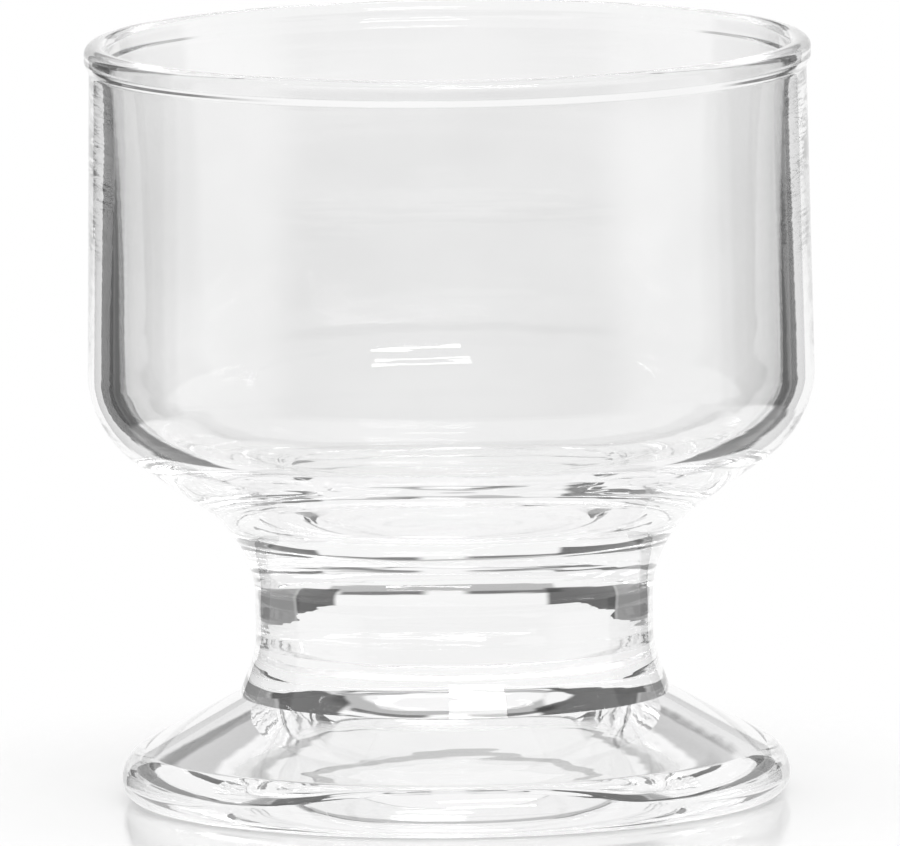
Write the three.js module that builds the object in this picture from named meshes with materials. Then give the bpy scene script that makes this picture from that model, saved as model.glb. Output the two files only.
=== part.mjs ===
// Wine tasting glass in clear pressed glass: a wide bowl on a short waisted stem and a domed foot.
// The three pieces are fused face to face at two flat, level welds.
// Millimetres, +Z up. The origin is the middle of the ring that the foot stands on.
import * as THREE from 'three';

// Bowl, outside
const bellyDiameter = 63.0; // widest part of the wall, just above the heel
const wallLean = 0.5; // how far the wall leans in between the belly and the bead
const wallHeight = 33.3; // from the heel's corner to the top of the lip
const heelSlope = 35; // degrees from level, underside between heel and stem
const heelRound = 8.3; // wall into underside
const flareRound = 9.5; // underside into stem

// Lip
const beadStandout = 0.4; // how far the rounded bead stands out from the wall
const beadHeight = 1.7; // top of the lip to the lower edge of the bead
const beadTaper = 0.6; // height in which the bead runs back to the wall
const beadRound = 0.8; // softens both ends of that taper
const lipThickness = 1.9; // bead to mouth
const lipFlat = 0.1; // level strip left at the very top

// Bowl, inside
const wallThickness = 2.75; // from belly to inside, which is upright there
const thinningHeight = 16.0; // top of the lip down to where the wall starts to thin
const thinningRound = 300.0; // eases the upright inside into the thinner top
const floorThickness = 9.3; // solid glass between the weld and the middle of the floor
const floorRise = 6.4; // floor's corner above its middle
const floorRound = 6.0; // inside wall into floor, about the same centre as the heel's round
const dishDiameter = 28.8; // level middle of the dished floor
const dishRound = 30.0; // blends the middle into the sloping part

// Stem
const waistDiameter = 34.4;
const stemLength = 8.1; // weld to weld
const weldLand = 0.3; // straight stretch above the upper weld
const collarDiameter = 37.3; // where the stem spreads onto the foot
const coveHeight = 3.8; // height in which the stem spreads
const coveRound = 6.3; // eases the waist into the cove

// Foot
const footDiameter = 57.8;
const footSlope = 28; // degrees from level, the dome's side
const edgeTopRound = 3.1; // dome into edge
const edgeLand = 0.1; // upright strip between the two rounds of the edge
const edgeBottomRound = 1.75; // edge into standing ring
const ringWidth = 2.4; // flat ring that touches the table
const hollowDepth = 6.2; // pressed hollow under the foot, at the rim of its roof
const hollowSlope = 25; // degrees from level, the hollow's side, nearly along the dome
const hollowRound = 11.0; // hollow's side into its roof
const roofSag = 1.3; // the roof's middle hangs lower than its rim
const sagDiameter = 6.4; // level middle of the roof
const sagRound = 20.0; // blends that middle into the roof

// Facets
const turnSteps = 64;
const arcStep = THREE.MathUtils.degToRad(9);

// Shared radii, angles and heights
const bellyRadius = bellyDiameter / 2;
const wallTopRadius = bellyRadius - wallLean;
const beadRadius = wallTopRadius + beadStandout;
const waistRadius = waistDiameter / 2;
const collarRadius = collarDiameter / 2;
const footRadius = footDiameter / 2;
const heelAngle = THREE.MathUtils.degToRad(heelSlope);
const footAngle = THREE.MathUtils.degToRad(footSlope);
const hollowAngle = THREE.MathUtils.degToRad(hollowSlope);

// How far a tangent arc reaches from the corner where an upright line meets a sloping one
function reachFromUpright(round, slopeAngle) {
  return round * Math.tan((Math.PI / 2 - slopeAngle) / 2);
}

const edgeCorner = edgeBottomRound + edgeLand + reachFromUpright(edgeTopRound, footAngle);
const footHeight = edgeCorner + (footRadius - collarRadius) * Math.tan(footAngle);

// Follows corners [radius, height, round] and puts a tangent arc at each one that has a round
function roundedOutline(corners) {
  const places = corners.map(([radius, height]) => new THREE.Vector2(radius, height));
  const outline = [];
  corners.forEach(([, , round], index) => {
    const corner = places[index];
    if (!round) {
      outline.push(corner);
      return;
    }
    const back = places[index - 1].clone().sub(corner).normalize();
    const ahead = places[index + 1].clone().sub(corner).normalize();
    const turn = Math.PI - back.angleTo(ahead);
    const side = -Math.sign(back.cross(ahead));
    const start = corner.clone().addScaledVector(back, round * Math.tan(turn / 2));
    const middle = back.clone().add(ahead).normalize();
    const centre = corner.clone().addScaledVector(middle, round / Math.cos(turn / 2));
    const steps = Math.ceil(turn / arcStep) + 1;
    for (let step = 0; step <= steps; step += 1) {
      outline.push(start.clone().rotateAround(centre, (side * turn * step) / steps));
    }
  });
  return outline;
}

// Turns an outline, from axis to axis, into a named piece of clear glass standing on +Z
function turnedGlass(name, corners) {
  const geometry = new THREE.LatheGeometry(roundedOutline(corners), turnSteps);
  geometry.rotateX(Math.PI / 2);
  const material = new THREE.MeshStandardMaterial({
    color: 0xe9eceb,
    roughness: 0.04,
    metalness: 0,
    transparent: true,
    opacity: 0.4,
  });
  const piece = new THREE.Mesh(geometry, material);
  piece.name = name;
  return piece;
}

// Bowl: thick dished floor, upright walls that thin towards the mouth, and a fire-polished bead as its lip
function makeBowl() {
  const flareCorner = weldLand + reachFromUpright(flareRound, heelAngle);
  const heelCorner = flareCorner + (bellyRadius - waistRadius) * Math.tan(heelAngle);
  const lipTop = heelCorner + wallHeight;
  const beadBottom = lipTop - beadHeight;
  const lipRound = (lipThickness - lipFlat) / 2;
  const insideRadius = bellyRadius - wallThickness;
  return turnedGlass('bowl', [
    [0, 0],
    [waistRadius, 0],
    [waistRadius, flareCorner, flareRound],
    [bellyRadius, heelCorner, heelRound],
    [wallTopRadius, beadBottom - beadTaper, beadRound],
    [beadRadius, beadBottom, beadRound],
    [beadRadius, lipTop, lipRound],
    [beadRadius - lipThickness, lipTop, lipRound],
    [insideRadius, lipTop - thinningHeight, thinningRound],
    [insideRadius, floorThickness + floorRise, floorRound],
    [dishDiameter / 2, floorThickness, dishRound],
    [0, floorThickness],
  ]);
}

// Stem: solid waist that spreads in a cove to a sharp crease on the foot
function makeStem() {
  return turnedGlass('stem', [
    [0, 0],
    [collarRadius, 0],
    [waistRadius, coveHeight, coveRound],
    [waistRadius, stemLength],
    [0, stemLength],
  ]);
}

// Foot: domed disc with a rounded edge, a flat standing ring and a pressed hollow that rises with the dome
function makeFoot() {
  const ringInside = footRadius - edgeBottomRound - ringWidth;
  const roofRadius = ringInside - hollowDepth / Math.tan(hollowAngle);
  return turnedGlass('foot', [
    [0, hollowDepth - roofSag],
    [sagDiameter / 2, hollowDepth - roofSag, sagRound],
    [roofRadius, hollowDepth, hollowRound],
    [ringInside, 0],
    [footRadius, 0, edgeBottomRound],
    [footRadius, edgeCorner, edgeTopRound],
    [collarRadius, footHeight],
    [0, footHeight],
  ]);
}

// Stack the pieces weld to weld
const foot = makeFoot();
const stem = makeStem();
const bowl = makeBowl();
stem.position.z = footHeight;
bowl.position.z = footHeight + stemLength;

const glass = new THREE.Group();
glass.add(foot, stem, bowl);

export default glass;
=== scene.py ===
import math

import bmesh
import bpy
from mathutils import Matrix, Vector


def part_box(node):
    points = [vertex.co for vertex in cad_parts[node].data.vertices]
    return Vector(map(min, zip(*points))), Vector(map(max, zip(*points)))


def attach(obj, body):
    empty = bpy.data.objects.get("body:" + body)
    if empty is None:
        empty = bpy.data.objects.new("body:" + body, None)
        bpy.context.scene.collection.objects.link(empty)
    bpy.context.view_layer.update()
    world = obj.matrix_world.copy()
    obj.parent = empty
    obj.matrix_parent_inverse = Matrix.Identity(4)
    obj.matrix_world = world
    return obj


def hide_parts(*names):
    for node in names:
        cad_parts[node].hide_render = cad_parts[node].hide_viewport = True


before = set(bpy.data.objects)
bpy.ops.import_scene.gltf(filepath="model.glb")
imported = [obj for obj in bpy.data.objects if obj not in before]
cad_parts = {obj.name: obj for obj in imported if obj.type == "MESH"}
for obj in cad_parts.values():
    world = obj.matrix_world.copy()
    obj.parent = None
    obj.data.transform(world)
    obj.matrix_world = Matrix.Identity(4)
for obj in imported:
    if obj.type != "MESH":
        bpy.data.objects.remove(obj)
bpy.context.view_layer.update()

# Foot
# A domed disc of clear soda-lime glass, pressed in a mould and fire-polished.
# It stands on a flat ring round a pressed hollow, and the stem is fused hot to its level top.
MM = 0.001
foot_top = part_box("foot")[1][2]
foot_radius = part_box("foot")[1][0]
crease_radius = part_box("stem")[1][0]
foot_slope = math.radians(28)
edge_top_round = 3.1 * MM
edge_bottom_round = 1.75 * MM
ring_width = 2.4 * MM
hollow_depth = 6.2 * MM
hollow_slope = math.radians(25)
hollow_round = 11.0 * MM
roof_sag = 1.3 * MM
sag_radius = 3.2 * MM
sag_round = 20.0 * MM
TURN_STEPS = 192
ROUND_STEP = math.radians(3)
LONGEST_EDGE = 1.0 * MM
SAME_PLACE = 0.001 * MM
SHARPEST_SMOOTH = math.radians(25)


def round_reach(corner, back, ahead, radius):
    """How far from a corner its tangent round begins, and how many steps the round takes."""
    turn = math.pi - (back.co - corner.co).angle(ahead.co - corner.co)
    steps = math.ceil(max(turn / ROUND_STEP, turn * radius / LONGEST_EDGE))
    return radius * math.tan(turn / 2), steps


def turn_glass(name, corners, weld_heights):
    """Turns corners (radius, height, round) about +Z into one closed piece with marked weld faces."""
    mesh_edit = bmesh.new()
    outline = [mesh_edit.verts.new((radius, 0, height)) for radius, height, _ in corners]
    for start, end in zip(outline, outline[1:]):
        mesh_edit.edges.new((start, end))
    rounds = []
    for index, (_, _, radius) in enumerate(corners):
        if radius:
            reach, steps = round_reach(outline[index], outline[index - 1], outline[index + 1], radius)
            rounds.append((outline[index], reach, steps))
    for corner, reach, steps in rounds:
        bmesh.ops.bevel(
            mesh_edit, geom=[corner], offset=reach, offset_type="OFFSET", segments=steps,
            profile=0.5, affect="VERTICES", material=-1,
        )
    for edge in list(mesh_edit.edges):
        cuts = int(edge.calc_length() / LONGEST_EDGE)
        if cuts:
            bmesh.ops.subdivide_edges(mesh_edit, edges=[edge], cuts=cuts)
    bmesh.ops.spin(
        mesh_edit, geom=mesh_edit.verts[:] + mesh_edit.edges[:], cent=(0, 0, 0), axis=(0, 0, 1),
        angle=2 * math.pi, steps=TURN_STEPS, use_merge=True,
    )
    bmesh.ops.remove_doubles(mesh_edit, verts=mesh_edit.verts, dist=SAME_PLACE)
    bmesh.ops.recalc_face_normals(mesh_edit, faces=mesh_edit.faces)
    for edge in mesh_edit.edges:
        edge.smooth = edge.calc_face_angle(0) < SHARPEST_SMOOTH
    for face in mesh_edit.faces:
        face.smooth = True
        height = face.calc_center_median().z
        face.material_index = int(any(abs(height - weld) < SAME_PLACE for weld in weld_heights))
    mesh = bpy.data.meshes.new(name)
    mesh_edit.to_mesh(mesh)
    mesh_edit.free()
    piece = bpy.data.objects.new(name, mesh)
    bpy.context.scene.collection.objects.link(piece)
    return piece


def math_node(tree, operation, *values):
    """Adds a maths node fed by other nodes or by plain numbers, and gives its output."""
    node = tree.nodes.new("ShaderNodeMath")
    node.operation = operation
    for socket, value in zip(node.inputs, values):
        if isinstance(value, bpy.types.NodeSocket):
            tree.links.new(value, socket)
        else:
            socket.default_value = value
    return node.outputs[0]


GLASS_IOR = 1.52
DARKER_GLASS = (0.91, 0.91, 0.91, 1)
LIGHTER_GLASS = (0.95, 0.95, 0.95, 1)
DRIFT_PER_METRE = (60, 60, 90)
RINGS_PER_METRE = (60, 60, 750)
RING_DEPTH = 0.03 * MM
floor_ring_height = 26 * MM
wall_ring_height = 34 * MM
WALL_RINGS = 0.3
stem_ring_height = foot_top + 3 * MM
FOOT_RINGS = 0.4


def clear_glass():
    """Clear pressed glass, nearly colourless, with the faint level rings and waves that a mould leaves."""
    material = bpy.data.materials.new("clear_glass")
    material.use_nodes = True
    tree = material.node_tree
    nodes = tree.nodes
    links = tree.links
    shader = nodes["Principled BSDF"]
    shader.inputs["Transmission Weight"].default_value = 1.0
    shader.inputs["IOR"].default_value = GLASS_IOR
    shader.inputs["Roughness"].default_value = 0.0
    place = nodes.new("ShaderNodeTexCoord")

    def noise(waves_per_metre):
        stretched = nodes.new("ShaderNodeMapping")
        stretched.inputs["Scale"].default_value = waves_per_metre
        links.new(place.outputs["Object"], stretched.inputs["Vector"])
        texture = nodes.new("ShaderNodeTexNoise")
        texture.inputs["Scale"].default_value = 1.0
        texture.inputs["Detail"].default_value = 2.0
        links.new(stretched.outputs["Vector"], texture.inputs["Vector"])
        return texture.outputs["Fac"]

    # Batch glass is a little uneven, so its faint grey drifts from place to place
    tint = nodes.new("ShaderNodeValToRGB")
    darker, lighter = tint.color_ramp.elements
    darker.position = 0.35
    darker.color = DARKER_GLASS
    lighter.position = 0.65
    lighter.color = LIGHTER_GLASS
    links.new(noise(DRIFT_PER_METRE), tint.inputs["Fac"])
    links.new(tint.outputs["Color"], shader.inputs["Base Color"])

    # Level rings, close together up the glass and long round it
    # They are strongest from the stem to the floor, and fainter on the bowl's wall and on the foot
    parts = nodes.new("ShaderNodeSeparateXYZ")
    links.new(place.outputs["Object"], parts.inputs["Vector"])

    def strength(faint_height, full_height, faintest):
        node = nodes.new("ShaderNodeMapRange")
        node.inputs["From Min"].default_value = faint_height
        node.inputs["From Max"].default_value = full_height
        node.inputs["To Min"].default_value = faintest
        links.new(parts.outputs["Z"], node.inputs["Value"])
        return node.outputs["Result"]

    below_wall = strength(wall_ring_height, floor_ring_height, WALL_RINGS)
    above_foot = strength(foot_top, stem_ring_height, FOOT_RINGS)
    stem_most = math_node(tree, "MULTIPLY", below_wall, above_foot)
    rings = math_node(tree, "MULTIPLY", noise(RINGS_PER_METRE), stem_most)
    ripple = nodes.new("ShaderNodeBump")
    ripple.inputs["Distance"].default_value = RING_DEPTH
    links.new(rings, ripple.inputs["Height"])
    links.new(ripple.outputs["Normal"], shader.inputs["Normal"])
    return material


def weld_seam():
    """Inside face of a hot weld, where two pieces have become one glass and nothing shows."""
    material = bpy.data.materials.new("weld_seam")
    material.use_nodes = True
    shader = material.node_tree.nodes["Principled BSDF"]
    shader.inputs["Alpha"].default_value = 0.0
    return material


glass = clear_glass()
seam = weld_seam()


def finish_piece(piece, node):
    """Gives a turned piece its glass and its welds, and puts it in the place of its solid."""
    piece.data.materials.append(glass)
    piece.data.materials.append(seam)
    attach(piece, "root")
    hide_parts(node)


ring_inside = foot_radius - edge_bottom_round - ring_width
roof_radius = ring_inside - hollow_depth / math.tan(hollow_slope)
edge_corner = foot_top - (foot_radius - crease_radius) * math.tan(foot_slope)
foot = turn_glass("pressed_foot", [
    (0, hollow_depth - roof_sag, 0),
    (sag_radius, hollow_depth - roof_sag, sag_round),
    (roof_radius, hollow_depth, hollow_round),
    (ring_inside, 0, 0),
    (foot_radius, 0, edge_bottom_round),
    (foot_radius, edge_corner, edge_top_round),
    (crease_radius, foot_top, 0),
    (0, foot_top, 0),
], [foot_top])
finish_piece(foot, "foot")

# Stem
# A short solid waist of the same glass, drawn in by the mould.
# It spreads in a cove to a sharp crease on the foot, and is fused hot to both of its neighbours.
stem_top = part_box("stem")[1][2]
waist_radius = 17.2 * MM
cove_height = 3.8 * MM
cove_round = 6.3 * MM
stem = turn_glass("waisted_stem", [
    (0, foot_top, 0),
    (crease_radius, foot_top, 0),
    (waist_radius, foot_top + cove_height, cove_round),
    (waist_radius, stem_top, 0),
    (0, stem_top, 0),
], [foot_top, stem_top])
finish_piece(stem, "stem")

# Bowl
# A pressed cup of the same glass with a thick dished floor, a round heel and upright walls.
# It is fused hot to the stem, and its lip is a bead that the flame has rounded.
lip_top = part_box("bowl")[1][2]
belly_radius = 31.5 * MM
wall_top_radius = 31.0 * MM
bead_radius = 31.4 * MM
bead_height = 1.7 * MM
bead_taper = 0.6 * MM
bead_round = 0.8 * MM
lip_thickness = 1.9 * MM
lip_round = 0.9 * MM
wall_height = 33.3 * MM
heel_slope = math.radians(35)
heel_round = 8.3 * MM
flare_round = 9.5 * MM
inside_radius = 28.75 * MM
thinning_height = 16.0 * MM
thinning_round = 300.0 * MM
floor_thickness = 9.3 * MM
floor_rise = 6.4 * MM
floor_round = 6.0 * MM
dish_radius = 14.4 * MM
dish_round = 30.0 * MM
heel_corner = lip_top - wall_height
flare_corner = heel_corner - (belly_radius - waist_radius) * math.tan(heel_slope)
bead_bottom = lip_top - bead_height
floor_height = stem_top + floor_thickness
bowl = turn_glass("pressed_bowl", [
    (0, stem_top, 0),
    (waist_radius, stem_top, 0),
    (waist_radius, flare_corner, flare_round),
    (belly_radius, heel_corner, heel_round),
    (wall_top_radius, bead_bottom - bead_taper, bead_round),
    (bead_radius, bead_bottom, bead_round),
    (bead_radius, lip_top, lip_round),
    (bead_radius - lip_thickness, lip_top, lip_round),
    (inside_radius, lip_top - thinning_height, thinning_round),
    (inside_radius, floor_height + floor_rise, floor_round),
    (dish_radius, floor_height, dish_round),
    (0, floor_height, 0),
], [stem_top])
finish_piece(bowl, "bowl")

# Table
# A sheet of glossy white acrylic under the glass, which mirrors the foot a little.
# Behind the glass it narrows to a tongue that widens to the back, so that the cards reach down beside it.
table_half = 100 * MM
table_gap = 0.1 * MM
wing_front = 9 * MM
wing_back = 45 * MM
tongue_narrow = 45 * MM
tongue_end = 400 * MM
TONGUE_SPREAD = 0.44
tongue_wide = tongue_narrow + (tongue_end - wing_back) * TONGUE_SPREAD
shadow_reach = 36 * MM
shadow_end = 70 * MM
ACRYLIC_WHITE = (0.94, 0.94, 0.94, 1)
ACRYLIC_ROUGHNESS = 0.12


def white_acrylic():
    """Glossy white that keeps the shadow by the glass and fades to plain white further out."""
    material = bpy.data.materials.new("white_acrylic")
    material.use_nodes = True
    tree = material.node_tree
    nodes = tree.nodes
    links = tree.links
    shader = nodes["Principled BSDF"]
    shader.inputs["Base Color"].default_value = ACRYLIC_WHITE
    shader.inputs["Roughness"].default_value = ACRYLIC_ROUGHNESS
    white = nodes.new("ShaderNodeEmission")
    path = nodes.new("ShaderNodeLightPath")
    by_glass = math_node(tree, "MAXIMUM", path.outputs["Is Glossy Ray"], path.outputs["Is Transmission Ray"])
    place = nodes.new("ShaderNodeTexCoord")
    reach = nodes.new("ShaderNodeVectorMath")
    reach.operation = "LENGTH"
    links.new(place.outputs["Object"], reach.inputs[0])
    fade = nodes.new("ShaderNodeMapRange")
    fade.interpolation_type = "SMOOTHSTEP"
    fade.inputs["From Min"].default_value = shadow_reach
    fade.inputs["From Max"].default_value = shadow_end
    links.new(reach.outputs["Value"], fade.inputs["Value"])
    far_out = math_node(tree, "MULTIPLY", fade.outputs["Result"], path.outputs["Is Camera Ray"])
    whitened = nodes.new("ShaderNodeMixShader")
    links.new(math_node(tree, "MAXIMUM", far_out, by_glass), whitened.inputs["Fac"])
    links.new(shader.outputs["BSDF"], whitened.inputs[1])
    links.new(white.outputs["Emission"], whitened.inputs[2])

    # Beside the tongue the sheet only carries the shadow, and the glass looks past it to the cards
    parts = nodes.new("ShaderNodeSeparateXYZ")
    links.new(place.outputs["Object"], parts.inputs["Vector"])
    aside = math_node(tree, "ABSOLUTE", parts.outputs["X"])
    start_width = tongue_narrow - wing_back * TONGUE_SPREAD
    tongue_half = math_node(tree, "MULTIPLY_ADD", parts.outputs["Y"], TONGUE_SPREAD, start_width)
    beside = math_node(tree, "GREATER_THAN", aside, tongue_half)
    behind = math_node(tree, "GREATER_THAN", parts.outputs["Y"], wing_front)
    wing = math_node(tree, "MULTIPLY", beside, behind)
    looked_past = nodes.new("ShaderNodeMixShader")
    links.new(math_node(tree, "MULTIPLY", wing, by_glass), looked_past.inputs["Fac"])
    links.new(whitened.outputs["Shader"], looked_past.inputs[1])
    links.new(nodes.new("ShaderNodeBsdfTransparent").outputs["BSDF"], looked_past.inputs[2])
    links.new(looked_past.outputs["Shader"], nodes["Material Output"].inputs["Surface"])
    return material


table_corners = [
    (table_half, -table_half),
    (table_half, wing_back),
    (tongue_narrow, wing_back),
    (tongue_wide, tongue_end),
    (-tongue_wide, tongue_end),
    (-tongue_narrow, wing_back),
    (-table_half, wing_back),
    (-table_half, -table_half),
]
table_edit = bmesh.new()
table_edge = [table_edit.verts.new((x, y, -table_gap)) for x, y in table_corners]
bmesh.ops.contextual_create(table_edit, geom=table_edge)
bmesh.ops.recalc_face_normals(table_edit, faces=table_edit.faces)
table_mesh = bpy.data.meshes.new("table")
table_edit.to_mesh(table_mesh)
table_edit.free()
table = bpy.data.objects.new("table", table_mesh)
bpy.context.scene.collection.objects.link(table)
table.data.materials.append(white_acrylic())

# Studio
# A white room with dark cards standing round the glass, and two softboxes in front, above the camera.
# The cards draw the dark edges of clear glass, and a gap between them lies straight behind it.
CARDS = [
    # heading from straight behind, half width, blur of the upright ends, lowest and highest elevation
    # (all in degrees); darkness
    (-32, 12, 2, -22, 20, 0.9),  # left, beside the gap
    (-60, 16, 4, -22, 20, 0.7),  # left, further round
    (34.5, 7.5, 2, -17, 22, 0.9),  # right, beside the gap
    (60, 18, 4, -17, 22, 0.7),  # right, further round
    (-31, 9, 4, -42, -21, 0.85),  # left, lower than the table
    (31, 9, 4, -42, -16, 0.85),  # right, lower than the table
    (180, 58, 20, -14, 6, 0.75),  # in front, behind the camera
    (4, 27, 2, 17.5, 26, 0.5),  # over the gap
    (-13.5, 11, 3, 12, 17.5, 0.85),  # strip that draws the line under the bead, left
    (16, 10, 3, 12, 17.5, 0.85),  # strip that draws the line under the bead, right
]
LEVEL_BLUR = math.radians(2)
ROOM_WHITE = 1.0
ROOM_LIGHT = 1.0


def studio_world():
    """Plain white to the camera, a white room with dark cards to the glass, and even light to the rest."""
    world = bpy.data.worlds.new("studio")
    world.use_nodes = True
    tree = world.node_tree
    nodes = tree.nodes
    links = tree.links

    def step(value, low, high):
        node = nodes.new("ShaderNodeMapRange")
        node.interpolation_type = "SMOOTHSTEP"
        node.inputs["From Min"].default_value = low
        node.inputs["From Max"].default_value = high
        links.new(value, node.inputs["Value"])
        return node.outputs["Result"]

    def choose(switch, off, on):
        node = nodes.new("ShaderNodeMix")
        node.data_type = "FLOAT"
        links.new(switch, node.inputs["Factor"])
        for socket, value in zip(node.inputs[2:4], (off, on)):
            if isinstance(value, bpy.types.NodeSocket):
                links.new(value, socket)
            else:
                socket.default_value = value
        return node.outputs["Result"]

    place = nodes.new("ShaderNodeTexCoord")
    parts = nodes.new("ShaderNodeSeparateXYZ")
    links.new(place.outputs["Generated"], parts.inputs["Vector"])
    height = math_node(tree, "ARCSINE", parts.outputs["Z"])
    level = nodes.new("ShaderNodeVectorMath")
    level.operation = "MULTIPLY"
    level.inputs[1].default_value = (1, 1, 0)
    links.new(place.outputs["Generated"], level.inputs[0])
    heading = nodes.new("ShaderNodeVectorMath")
    heading.operation = "NORMALIZE"
    links.new(level.outputs["Vector"], heading.inputs[0])

    room = ROOM_WHITE
    for azimuth, half_width, end_blur, lowest, highest, darkness in CARDS:
        aim = nodes.new("ShaderNodeVectorMath")
        aim.operation = "DOT_PRODUCT"
        turn = math.radians(azimuth)
        aim.inputs[1].default_value = (math.sin(turn), math.cos(turn), 0)
        links.new(heading.outputs["Vector"], aim.inputs[0])
        aside = math_node(tree, "ARCCOSINE", aim.outputs["Value"])
        low = math.radians(lowest)
        high = math.radians(highest)
        across = step(aside, math.radians(half_width + end_blur / 2), math.radians(half_width - end_blur / 2))
        above = step(height, low - LEVEL_BLUR / 2, low + LEVEL_BLUR / 2)
        below = step(height, high + LEVEL_BLUR / 2, high - LEVEL_BLUR / 2)
        card = math_node(tree, "MULTIPLY", math_node(tree, "MULTIPLY", above, below), across)
        left = math_node(tree, "SUBTRACT", 1.0, math_node(tree, "MULTIPLY", card, darkness))
        room = math_node(tree, "MULTIPLY", left, room)

    path = nodes.new("ShaderNodeLightPath")
    by_glass = math_node(tree, "MAXIMUM", path.outputs["Is Glossy Ray"], path.outputs["Is Transmission Ray"])
    light = choose(by_glass, ROOM_LIGHT, room)
    shown = choose(path.outputs["Is Camera Ray"], light, ROOM_WHITE)
    links.new(shown, nodes["Background"].inputs["Strength"])
    nodes["Background"].inputs["Color"].default_value = (1, 1, 1, 1)
    return world


bpy.context.scene.world = studio_world()

LAMP_WIDTH = 0.40
LAMP_HEIGHT = 0.06
LAMP_ENERGY = 0.7
LAMP_DISTANCE = 0.8
LAMP_HEADING = math.radians(13)
for name, lift in (("softbox_low", math.radians(33)), ("softbox_high", math.radians(50))):
    lamp_data = bpy.data.lights.new(name, "AREA")
    lamp_data.shape = "RECTANGLE"
    lamp_data.size = LAMP_WIDTH
    lamp_data.size_y = LAMP_HEIGHT
    lamp_data.energy = LAMP_ENERGY
    lamp = bpy.data.objects.new(name, lamp_data)
    towards = Vector((
        math.cos(lift) * math.sin(LAMP_HEADING), -math.cos(lift) * math.cos(LAMP_HEADING), math.sin(lift),
    ))
    lamp.location = towards * LAMP_DISTANCE
    lamp.rotation_euler = towards.to_track_quat("Z", "Y").to_euler()
    bpy.context.scene.collection.objects.link(lamp)

# Camera
# A long lens a good way off, so that the rim's ellipse stays as flat as in the photograph.
# It looks down a little at the middle of the glass, and is rolled as the photograph is.
CAMERA_DISTANCE = 3.0
CAMERA_LIFT = math.radians(7.2)
CAMERA_ROLL = math.radians(-0.72)
SENSOR_WIDTH = 36
FAR_CLIP = 20
PICTURE_WIDTH = 77.8 * MM
aim_point = Vector((-0.17 * MM, 0, 32.45 * MM))
camera_data = bpy.data.cameras.new("camera")
camera_data.sensor_width = SENSOR_WIDTH
camera_data.lens = SENSOR_WIDTH * CAMERA_DISTANCE / PICTURE_WIDTH
camera_data.clip_end = FAR_CLIP
camera = bpy.data.objects.new("camera", camera_data)
away = Vector((0, -math.cos(CAMERA_LIFT), math.sin(CAMERA_LIFT)))
camera.location = aim_point + away * CAMERA_DISTANCE
facing = away.to_track_quat("Z", "Y").to_matrix()
camera.rotation_euler = (facing @ Matrix.Rotation(CAMERA_ROLL, 3, "Z")).to_euler()
bpy.context.scene.collection.objects.link(camera)
bpy.context.scene.camera = camera

# Light runs far inside thick glass, so it may turn many times before it is given up
GLASS_BOUNCES = 96
SEAM_BOUNCES = 64
scene = bpy.context.scene
scene.view_settings.view_transform = "Standard"
scene.cycles.max_bounces = GLASS_BOUNCES
scene.cycles.transmission_bounces = GLASS_BOUNCES
scene.cycles.glossy_bounces = GLASS_BOUNCES
scene.cycles.transparent_max_bounces = SEAM_BOUNCES
